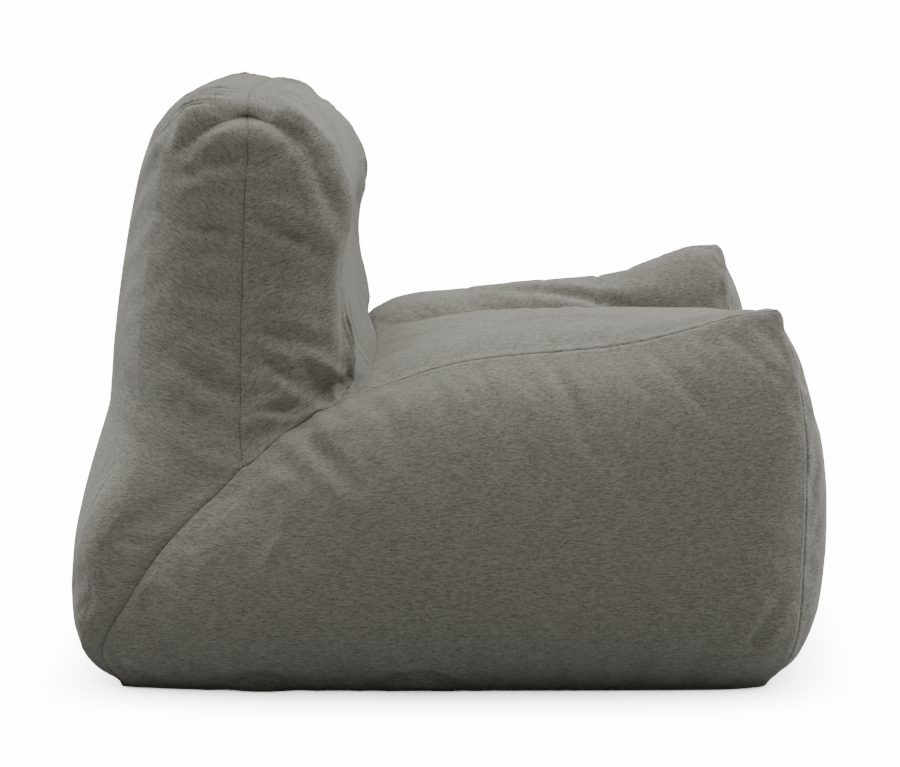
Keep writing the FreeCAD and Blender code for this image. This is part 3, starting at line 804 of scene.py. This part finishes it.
class Value:
    """A number or vector that varies over a finish. Arithmetic on it adds Math nodes."""

    def __init__(self, finish, socket):
        self.finish = finish
        self.socket = socket

    def math(self, operation, *others):
        values = dict(enumerate((self,) + others))
        return self.finish.node("Math", {"operation": operation}, values)

    def __add__(self, other):
        return self.math("ADD", other)

    __radd__ = __add__

    def __sub__(self, other):
        return self.math("SUBTRACT", other)

    def __rsub__(self, other):
        return self.finish.node("Math", {"operation": "SUBTRACT"}, {0: other, 1: self})

    def __mul__(self, other):
        return self.math("MULTIPLY", other)

    __rmul__ = __mul__

    def clipped(self):
        """The value kept between 0 and 1."""
        return self.finish.node("Clamp", {}, {0: self})

    def part(self, axis):
        """One part of a vector."""
        return self.finish.node("SeparateXYZ", {}, {0: self}, axis)


YARN = 0.00075
DARK_YARN = (0.118, 0.115, 0.095)
LIGHT_YARN = (0.365, 0.358, 0.305)
TAUPE_YARN = (0.240, 0.215, 0.172)


def woven_cloth(name, dark, light, tint, strength=1.0):
    """Plain weave in melange yarn: mixed fibres, long slubs, and yarns over and under."""
    finish = Finish(name, tuple((d + l) / 2 for d, l in zip(dark, light)), 0.92,
                    Sheen_Weight=0.25, Sheen_Roughness=0.55, Specular_IOR_Level=0.25)
    cloth = finish.node("UVMap", {"uv_map": "cloth"})
    u = cloth.part(0)
    v = cloth.part(1)

    def threads(along_u, along_v, detail, seed):
        """Noise that is longer one way than the other. The sizes are features per metre."""
        spot = finish.node("CombineXYZ", {}, {0: u * along_u, 1: v * along_v, 2: seed})
        return finish.node("TexNoise", {}, {"Vector": spot, "Scale": 1.0, "Detail": detail,
                                            "Roughness": 0.6})

    weft = threads(140, 560, 1, 1.3)
    warp = threads(520, 240, 1, 4.7)
    fibres = threads(470, 540, 1, 8.1)
    slubs = threads(60, 440, 1, 11.9)
    patches = threads(9, 9, 3, 17.3)
    mixed = (0.5 + (weft - 0.5) * 1.3 + (warp - 0.5) * 0.4 + (fibres - 0.5) * 1.1
             + (slubs - 0.5) * 0.22 + (patches - 0.5) * 0.10)
    color = finish.blend(mixed.clipped(), (*dark, 1), (*light, 1))
    tinted = ((warp - 0.45) * 2.2 + (patches - 0.5) * 0.8).clipped() * 0.30
    color = finish.blend(tinted, color, (*tint, 1))
    finish.feed("Base Color", color)
    finish.feed("Roughness", 0.88 + (fibres - 0.5) * 0.16)

    over = (u * (math.pi / YARN)).math("SINE")
    under = (v * (math.pi / YARN)).math("SINE")
    weave = over * under * 0.5 + 0.5
    gather = finish.node("Attribute", {"attribute_name": "gather"}, output=2)
    puckers = threads(62, 62, 2, 23.1) * gather
    crumple = threads(24, 24, 3, 31.7)
    height = (weave * 0.00012 + (weft + slubs) * 0.00010 + fibres * 0.00007
              + puckers * 0.0040 * strength + crumple * 0.0012 * strength)
    bump = finish.node("Bump", {}, {"Strength": 1.0, "Distance": 1.0, "Height": height})
    finish.feed("Normal", bump)
    return finish.material


cover_cloth = woven_cloth("cover_cloth", DARK_YARN, LIGHT_YARN, TAUPE_YARN)


def stands_for(piece, node, material):
    """Gives a piece its material and puts it on the chair in place of a part."""
    piece.data.materials.clear()
    piece.data.materials.append(material)
    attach(piece, "chair")
    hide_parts(node)


for name, piece in cover_panels.items():
    stands_for(piece, name, cover_cloth)


# ---------------------------------------------------------------------------------------------
# Base panel. One piece of the same cloth, sewn to the hem all round. The beads press it flat on
# the floor, and it rolls up to the hem at its edge.
# ---------------------------------------------------------------------------------------------
ROLL_STEPS = 8
BASE_RINGS = 24
BASE_HEIGHT = 0.0012
BASE_THICKNESS = 0.0010
ROLL_REACH = 0.008


def hem_of_cover():
    """The cover's lower edge, as places in order round the chair and the way each faces."""
    ends = face_sides(corners)
    codes = np.sort(ends, axis=1) @ np.array([len(places), 1])
    _, first, times = np.unique(codes, return_index=True, return_counts=True)
    following = dict(ends[first[times == 1]].tolist())
    loop = [next(iter(following))]
    while following[loop[-1]] != loop[0]:
        loop.append(following[loop[-1]])
    return places[loop], normals[loop]


hem, hem_facing = hem_of_cover()
middle_of_base = np.array([0, hem[:, 1].mean(), 0])
inward = (middle_of_base - hem) * np.array([1, 1, 0])
inward /= np.linalg.norm(inward, axis=1, keepdims=True)
lift = np.maximum(hem[:, 2:3] - BASE_HEIGHT, 0)
rings = [hem - hem_facing * ALLOWANCE + (0, 0, EDGE_LEAN), hem - hem_facing * SEAM_DEPTH]
for step in range(1, ROLL_STEPS + 1):
    angle = math.pi / 2 * step / ROLL_STEPS
    ring = hem + inward * (1 - math.cos(angle)) * (ROLL_REACH + 0.8 * lift)
    ring[:, 2:3] = BASE_HEIGHT + lift * (1 - math.sin(angle))
    rings.append(ring)
edge = rings[-1]
hub = middle_of_base + (0, 0, BASE_HEIGHT)
for step in range(1, BASE_RINGS):
    rings.append(edge + (hub - edge) * (step / BASE_RINGS))
ring_size = len(hem)
base_places = np.concatenate(rings + [hub[None, :]])
base_faces = []
for ring in range(len(rings) - 1):
    for index in range(ring_size):
        following = (index + 1) % ring_size
        base_faces.append((ring * ring_size + following, ring * ring_size + index,
                           (ring + 1) * ring_size + index, (ring + 1) * ring_size + following))
last = (len(rings) - 1) * ring_size
for index in range(ring_size):
    base_faces.append((last + (index + 1) % ring_size, last + index, len(base_places) - 1))
base_mesh = bpy.data.meshes.new("base_panel_cloth")
base_mesh.from_pydata(base_places.tolist(), [], base_faces)
base_layer = base_mesh.uv_layers.new(name="cloth")
base_corners = np.zeros(len(base_mesh.loops), int)
base_mesh.loops.foreach_get("vertex_index", base_corners)
base_layer.data.foreach_set("uv", base_places[base_corners][:, :2].ravel())
base_mesh.shade_smooth()
base = linked("base_panel_cloth", base_mesh)
only(base)
if base_mesh.polygons[len(base_mesh.polygons) // 2].normal.z > 0:
    base_mesh.flip_normals()
thicken(base, BASE_THICKNESS)
stands_for(base, "base_panel", cover_cloth)
bpy.data.objects.remove(cover)


# ---------------------------------------------------------------------------------------------
# Inner bags. Two liners of thin white cloth, one under the seat and arms and one in the
# backrest, each full of foam beads. A divider of cover cloth is sewn between them.
# ---------------------------------------------------------------------------------------------
BAG_GAP = 0.026
DIVIDER_FRONT = 0.200
DIVIDER_REAR = 0.432
DIVIDER_HEIGHT = 0.358
DIVIDER_SAG = 0.004
BAG_CLEARANCE = 0.010
BAG_VOXEL = 0.014
BAG_ROUNDS = 8
LAST_ROUNDS = 2
LINER_THICKNESS = 0.0006
BEAD_GAP = 0.0022


def remeshed(bag):
    """Gives a bag an even mesh."""
    remesh = bag.modifiers.new("remesh", "REMESH")
    remesh.mode = "VOXEL"
    remesh.voxel_size = BAG_VOXEL
    apply_modifier(bag, "remesh")


def closed_bag():
    """The cover's plain shape with its base closed, drawn in, as one solid."""
    cloth = bmesh.new()
    cloth.from_mesh(plain_cover)
    rim = [edge for edge in cloth.edges if edge.is_boundary]
    bmesh.ops.holes_fill(cloth, edges=rim, sides=0)
    cloth.normal_update()
    drawn_in = {vertex: vertex.co - vertex.normal * BAG_GAP for vertex in cloth.verts}
    for vertex, place in drawn_in.items():
        vertex.co = place
        vertex.co.z = max(place.z, BAG_CLEARANCE)
    mesh = bpy.data.meshes.new("closed_bag")
    cloth.to_mesh(mesh)
    cloth.free()
    bag = linked("closed_bag", mesh)
    remeshed(bag)
    return bag


def cut_with_box(bag, low, high, operation):
    """Keeps the part of a bag inside a box, or the part outside it."""
    centre = (Vector(low) + Vector(high)) / 2
    bpy.ops.mesh.primitive_cube_add(size=1, location=centre)
    box = bpy.context.object
    box.dimensions = Vector(high) - Vector(low)
    bpy.context.view_layer.update()
    cutter = bag.modifiers.new("cutter", "BOOLEAN")
    cutter.operation = operation
    cutter.solver = "EXACT"
    cutter.object = box
    apply_modifier(bag, "cutter")
    bpy.data.objects.remove(box)


def softened(piece, rounds):
    """Rounds the edges that a cut left, by evening the mesh."""
    cloth = bmesh.new()
    cloth.from_mesh(piece.data)
    bmesh.ops.triangulate(cloth, faces=[face for face in cloth.faces if len(face.verts) > 4])
    for _ in range(rounds):
        bmesh.ops.smooth_vert(cloth, verts=cloth.verts, factor=0.5, use_axis_x=True,
                              use_axis_y=True, use_axis_z=True)
    cloth.normal_update()
    cloth.to_mesh(piece.data)
    cloth.free()


def bag_and_beads(place, operation, low, high):
    """A liner and the beads that fill it."""
    fill = closed_bag()
    cut_with_box(fill, low, high, operation)
    softened(fill, BAG_ROUNDS)
    remeshed(fill)
    softened(fill, LAST_ROUNDS)
    fill.data.shade_smooth()
    liner = fill.copy()
    liner.data = fill.data.copy()
    bpy.context.collection.objects.link(liner)
    liner.name = place + "_liner_cloth"
    fill.name = place + "_fill_beads"
    inner = vertex_places(fill.data) - vertex_normals(fill.data) * BEAD_GAP
    fill.data.vertices.foreach_set("co", inner.ravel())
    thicken(liner, LINER_THICKNESS)
    return liner, fill


liner_finish = Finish("liner_cloth", (0.74, 0.73, 0.70), 0.85, Sheen_Weight=0.15)
spot = liner_finish.node("TexCoord", output=3)
grain = liner_finish.node("TexNoise", {}, {"Vector": spot, "Scale": 900.0, "Detail": 2.0})
wrinkle = liner_finish.node("TexNoise", {}, {"Vector": spot, "Scale": 22.0, "Detail": 3.0})
liner_finish.feed("Base Color", liner_finish.blend(grain, (0.68, 0.67, 0.64, 1),
                                                   (0.80, 0.79, 0.76, 1)))
liner_finish.feed("Normal", liner_finish.node(
    "Bump", {}, {"Distance": 1.0, "Height": grain * 0.0001 + wrinkle * 0.004}))

bead_finish = Finish("foam_beads", (0.86, 0.86, 0.84), 0.6)
spot = bead_finish.node("TexCoord", output=3)
bead = bead_finish.node("TexVoronoi", {}, {"Vector": spot, "Scale": 260.0})
# Each bead's colour darkens from its middle to its rim and into the gaps between beads: painted shade.
bead_finish.feed("Base Color", bead_finish.blend(
    (bead * 1.4).clipped(), (0.90, 0.90, 0.88, 1), (0.62, 0.62, 0.60, 1)))
bead_finish.feed("Normal", bead_finish.node(
    "Bump", {}, {"Distance": 1.0, "Height": (1 - bead * bead) * 0.002}))

DIVIDER_GAP = 0.012
BAG_SPLIT = 0.160
FAR = 1.2
bags = (
    ("seat", "DIFFERENCE", (-FAR, BAG_SPLIT - DIVIDER_GAP, DIVIDER_HEIGHT - DIVIDER_GAP),
     (FAR, FAR, FAR)),
    ("backrest", "INTERSECT", (-FAR, BAG_SPLIT + DIVIDER_GAP, DIVIDER_HEIGHT + DIVIDER_GAP),
     (FAR, FAR, FAR)),
)
for place, operation, low, high in bags:
    liner, fill = bag_and_beads(place, operation, low, high)
    stands_for(liner, place + "_liner", liner_finish.material)
    stands_for(fill, place + "_fill", bead_finish.material)

# The divider lies level between the bags, and narrows at the rear corners.
DIVIDER_ROWS = 30
DIVIDER_COLUMNS = 60
DIVIDER_HALF_WIDTH = 0.335
DIVIDER_CORNER = 0.10
along = np.linspace(DIVIDER_FRONT, DIVIDER_REAR, DIVIDER_ROWS + 1)
half_width = DIVIDER_HALF_WIDTH * (1 - DIVIDER_CORNER * np.linspace(0, 1, DIVIDER_ROWS + 1) ** 6)
share = np.linspace(-1, 1, DIVIDER_COLUMNS + 1)[:, None]
divider_grid = np.zeros((DIVIDER_COLUMNS + 1, DIVIDER_ROWS + 1, 3))
divider_grid[:, :, 0] = share * half_width[None, :]
divider_grid[:, :, 1] = along[None, :]
run = np.linspace(0, 1, DIVIDER_ROWS + 1)[None, :]
divider_grid[:, :, 2] = (DIVIDER_HEIGHT - DIVIDER_SAG * (1 - share ** 2) * np.sin(np.pi * run)
                         + 0.0012 * np.sin(share * 31) * np.sin(run * 17))
divider_places = divider_grid.reshape(-1, 3)
divider_mesh = bpy.data.meshes.new("divider_cloth")
divider_mesh.from_pydata(divider_places.tolist(), [],
                         sheet_faces(DIVIDER_COLUMNS + 1, DIVIDER_ROWS + 1, 0))
divider_corners = corners_of_faces(divider_mesh).ravel()
divider_layer = divider_mesh.uv_layers.new(name="cloth")
divider_layer.data.foreach_set("uv", divider_places[divider_corners][:, :2].ravel())
divider_mesh.shade_smooth()
divider = linked("divider_cloth", divider_mesh)
thicken(divider, CLOTH_THICKNESS)
stands_for(divider, "divider_panel", cover_cloth)


# ---------------------------------------------------------------------------------------------
# Zip. A nylon coil zip behind a slot in the back panel. Each tape carries a coil whose loops
# mesh with the other's, and a clamped stop closes the chain at each end.
# ---------------------------------------------------------------------------------------------
LOOP_PITCH = 0.00145
LOOP_HALF = 0.00042
LOOP_STATIONS = 5
TAPE_STEPS = 220


def zip_tape(side_name):
    """A narrow woven tape, with a fine ripple where the coil is stitched on."""
    low, high = (Vector(corner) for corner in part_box("zip_tape_" + side_name))
    columns, rows = TAPE_STEPS + 1, 9
    x = np.linspace(low.x, high.x, columns)[:, None] * np.ones((1, rows))
    z = np.ones((columns, 1)) * np.linspace(low.z, high.z, rows)[None, :]
    stitched = np.exp(-(np.abs(z - ZIP_LINE) - 0.0015) / 0.0015)
    y = high.y - 0.00012 * (1 + np.sin(x * 2 * math.pi / 0.006)) * np.minimum(stitched, 1)
    places = np.stack([x, y, z], 2).reshape(-1, 3)
    mesh = bpy.data.meshes.new("tape_" + side_name)
    mesh.from_pydata(places.tolist(), [], sheet_faces(columns, rows, 0))
    spots = corners_of_faces(mesh).ravel()
    layer = mesh.uv_layers.new(name="cloth")
    layer.data.foreach_set("uv", places[spots][:, [0, 2]].ravel())
    if mesh.polygons[0].normal.y < 0:
        mesh.flip_normals()
    mesh.shade_smooth()
    tape = linked("tape_" + side_name, mesh)
    thicken(tape, high.y - low.y - 0.0003)
    return tape


def zip_coil(side_name):
    """Loops of nylon side by side. Each reaches from the tape to just past the middle."""
    low, high = (np.array(corner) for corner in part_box("zip_coil_" + side_name))
    sign = 1 if side_name == "upper" else -1
    outer = ZIP_LINE + sign * (high[2] - low[2])
    inner = ZIP_LINE + sign * 0.00005
    centre_y = (low[1] + high[1]) / 2
    deep = (high[1] - low[1]) / 2
    count = int((high[0] - low[0]) / LOOP_PITCH)
    places = []
    faces = []
    for index in range(count):
        middle_x = low[0] + (index + (0.5 if sign > 0 else 0.98)) * LOOP_PITCH
        if middle_x + LOOP_HALF > high[0]:
            break
        first = len(places)
        for station in range(LOOP_STATIONS):
            share = station / (LOOP_STATIONS - 1)
            z = outer + (inner - outer) * share
            swell_here = 0.70 + 0.30 * math.sin(math.pi * share) if share < 0.99 else 0.55
            lean = 0.00022 * sign * (share - 0.5)
            for corner in range(6):
                angle = math.pi / 3 * corner
                places.append((middle_x + lean + LOOP_HALF * swell_here * math.cos(angle),
                               centre_y + deep * swell_here * math.sin(angle), z))
        for station in range(LOOP_STATIONS - 1):
            for corner in range(6):
                a = first + station * 6 + corner
                b = first + station * 6 + (corner + 1) % 6
                faces.append((a, b, b + 6, a + 6))
        faces.append(tuple(first + corner for corner in reversed(range(6))))
        faces.append(tuple(first + (LOOP_STATIONS - 1) * 6 + corner for corner in range(6)))
    mesh = bpy.data.meshes.new("coil_" + side_name)
    mesh.from_pydata(places, [], faces)
    loops = bmesh.new()
    loops.from_mesh(mesh)
    bmesh.ops.recalc_face_normals(loops, faces=loops.faces)
    loops.to_mesh(mesh)
    loops.free()
    mesh.shade_smooth()
    return linked("coil_" + side_name, mesh)


def bevelled(piece, width, segments):
    """Rounds a hard piece's edges and shades it smooth up to its corners."""
    edges = piece.modifiers.new("edges", "BEVEL")
    edges.width = width
    edges.segments = segments
    edges.limit_method = "ANGLE"
    apply_modifier(piece, "edges")
    only(piece)
    bpy.ops.object.shade_smooth_by_angle(angle=math.radians(40))


def zip_stop(node):
    """A folded metal clamp with a groove pressed across its middle."""
    low, high = (Vector(corner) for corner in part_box(node))
    bpy.ops.object.select_all(action="DESELECT")
    bpy.ops.mesh.primitive_cube_add(size=1, location=(low + high) / 2)
    stop = bpy.context.object
    stop.name = node + "_clamp"
    stop.dimensions = high - low
    bpy.ops.object.transform_apply(location=True, rotation=True, scale=True)
    bpy.ops.object.mode_set(mode="EDIT")
    bpy.ops.mesh.select_all(action="SELECT")
    bpy.ops.mesh.subdivide(number_cuts=3)
    bpy.ops.mesh.select_all(action="DESELECT")
    bpy.ops.object.mode_set(mode="OBJECT")
    middle_x = (low.x + high.x) / 2
    for vertex in stop.data.vertices:
        if abs(vertex.co.x - middle_x) < 0.0002 and vertex.co.y > high.y - 0.0001:
            vertex.co.y -= 0.00035
    bevelled(stop, 0.00015, 2)
    return stop


tape_cloth = woven_cloth("zip_tape_cloth", (0.018, 0.018, 0.018), (0.050, 0.050, 0.049),
                         (0.030, 0.029, 0.028), 0.2)
nylon = Finish("nylon_coil", (0.030, 0.030, 0.031), 0.38, Specular_IOR_Level=0.5)
spot = nylon.node("TexCoord", output=3)
shade = nylon.node("TexNoise", {}, {"Vector": spot, "Scale": 700.0, "Detail": 2.0})
nylon.feed("Base Color", nylon.blend(shade, (0.022, 0.022, 0.023, 1), (0.045, 0.045, 0.046, 1)))
nylon.feed("Roughness", 0.30 + shade * 0.18)

metal = Finish("gunmetal", (0.20, 0.20, 0.20), 0.35, Metallic=1.0)
spot = metal.node("TexCoord", output=3)
wear = metal.node("TexNoise", {}, {"Vector": spot, "Scale": 380.0, "Detail": 4.0})
brushed = metal.node("TexNoise", {}, {"Vector": spot, "Scale": 2600.0, "Detail": 2.0})
metal.feed("Base Color", metal.blend(((wear - 0.45) * 3).clipped(), (0.17, 0.17, 0.17, 1),
                                     (0.34, 0.33, 0.32, 1)))
metal.feed("Roughness", 0.28 + wear * 0.22)
metal.feed("Normal", metal.node("Bump", {}, {"Distance": 1.0,
                                             "Height": wear * 0.00004 + brushed * 0.00001}))

for side_name in ("upper", "lower"):
    tape = zip_tape(side_name)
    stands_for(tape, "zip_tape_" + side_name, tape_cloth)
    coil = zip_coil(side_name)
    stands_for(coil, "zip_coil_" + side_name, nylon.material)
for node in ("zip_shut_stop", "zip_open_stop"):
    stop = zip_stop(node)
    stands_for(stop, node, metal.material)
for node in ("zip_slider", "zip_pull"):
    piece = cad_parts[node]
    piece.data.materials.clear()
    piece.data.materials.append(metal.material)


# ---------------------------------------------------------------------------------------------
# Studio. A plain white floor under one very broad light from above and behind, a softer light at
# the front and at the rear, and a faint light from all round. The floor and the sky glow for the
# camera alone, so that they look white and throw little light on the chair. Near the chair the
# floor's glow is dimmed by ambient occlusion, a painted contact shadow.
# ---------------------------------------------------------------------------------------------
FLOOR_GREY = (0.44, 0.44, 0.44)
FLOOR_GLOW = 14.0
SHADE_REACH = 0.08
SUN_STRENGTH = 3.9
SUN_SPREAD = 75
SUN_LEAN = 14
SKY_STRENGTH = 0.16

bpy.ops.mesh.primitive_plane_add(size=600, location=(0, 0, 0))
floor = bpy.context.object
floor.name = "floor"
floor_paint = Finish("floor_paint", FLOOR_GREY, 1.0, Specular_IOR_Level=0.0)
floor_paint.shader.inputs["Emission Strength"].default_value = 1.0
# Ambient occlusion darkens the floor's glow under and beside the chair: a painted contact shadow.
under = floor_paint.node("AmbientOcclusion", {"samples": 8}, {"Distance": SHADE_REACH}, 1)
seen = floor_paint.node("LightPath") * under * FLOOR_GLOW
floor_paint.feed("Emission Color", floor_paint.node("CombineXYZ", {}, {0: seen, 1: seen, 2: seen}))
floor.data.materials.append(floor_paint.material)

sun_data = bpy.data.lights.new("overhead", "SUN")
sun_data.energy = SUN_STRENGTH
sun_data.angle = math.radians(SUN_SPREAD)
sun = linked("overhead", sun_data)
sun.rotation_euler = (0, math.radians(SUN_LEAN), 0)

SIDE_LIGHTS = (("front_light", (0.9, -3.2, 0.9), 46), ("rear_light", (0.9, 3.2, 0.9), 28))
SIDE_LIGHT_SIZE = 2.2
for name, place, watts in SIDE_LIGHTS:
    data = bpy.data.lights.new(name, "AREA")
    data.shape = "SQUARE"
    data.size = SIDE_LIGHT_SIZE
    data.energy = watts
    lamp = linked(name, data)
    lamp.location = place
    lamp.rotation_euler = (Vector((0, 0, 0.3)) - Vector(place)).to_track_quat("-Z", "Y").to_euler()

sky = bpy.data.worlds.new("studio")
sky.use_nodes = True
sky_light = sky.node_tree.nodes["Background"]
sky_light.inputs["Color"].default_value = (1, 1, 1, 1)
sky_light.inputs["Strength"].default_value = SKY_STRENGTH
backdrop = sky.node_tree.nodes.new("ShaderNodeBackground")
backdrop.inputs["Color"].default_value = (1, 1, 1, 1)
backdrop.inputs["Strength"].default_value = FLOOR_GLOW
seen_sky = sky.node_tree.nodes.new("ShaderNodeMixShader")
seen_by = sky.node_tree.nodes.new("ShaderNodeLightPath")
sky.node_tree.links.new(seen_by.outputs["Is Camera Ray"], seen_sky.inputs[0])
sky.node_tree.links.new(sky_light.outputs[0], seen_sky.inputs[1])
sky.node_tree.links.new(backdrop.outputs[0], seen_sky.inputs[2])
sky.node_tree.links.new(seen_sky.outputs[0], sky.node_tree.nodes["World Output"].inputs[0])
bpy.context.scene.world = sky
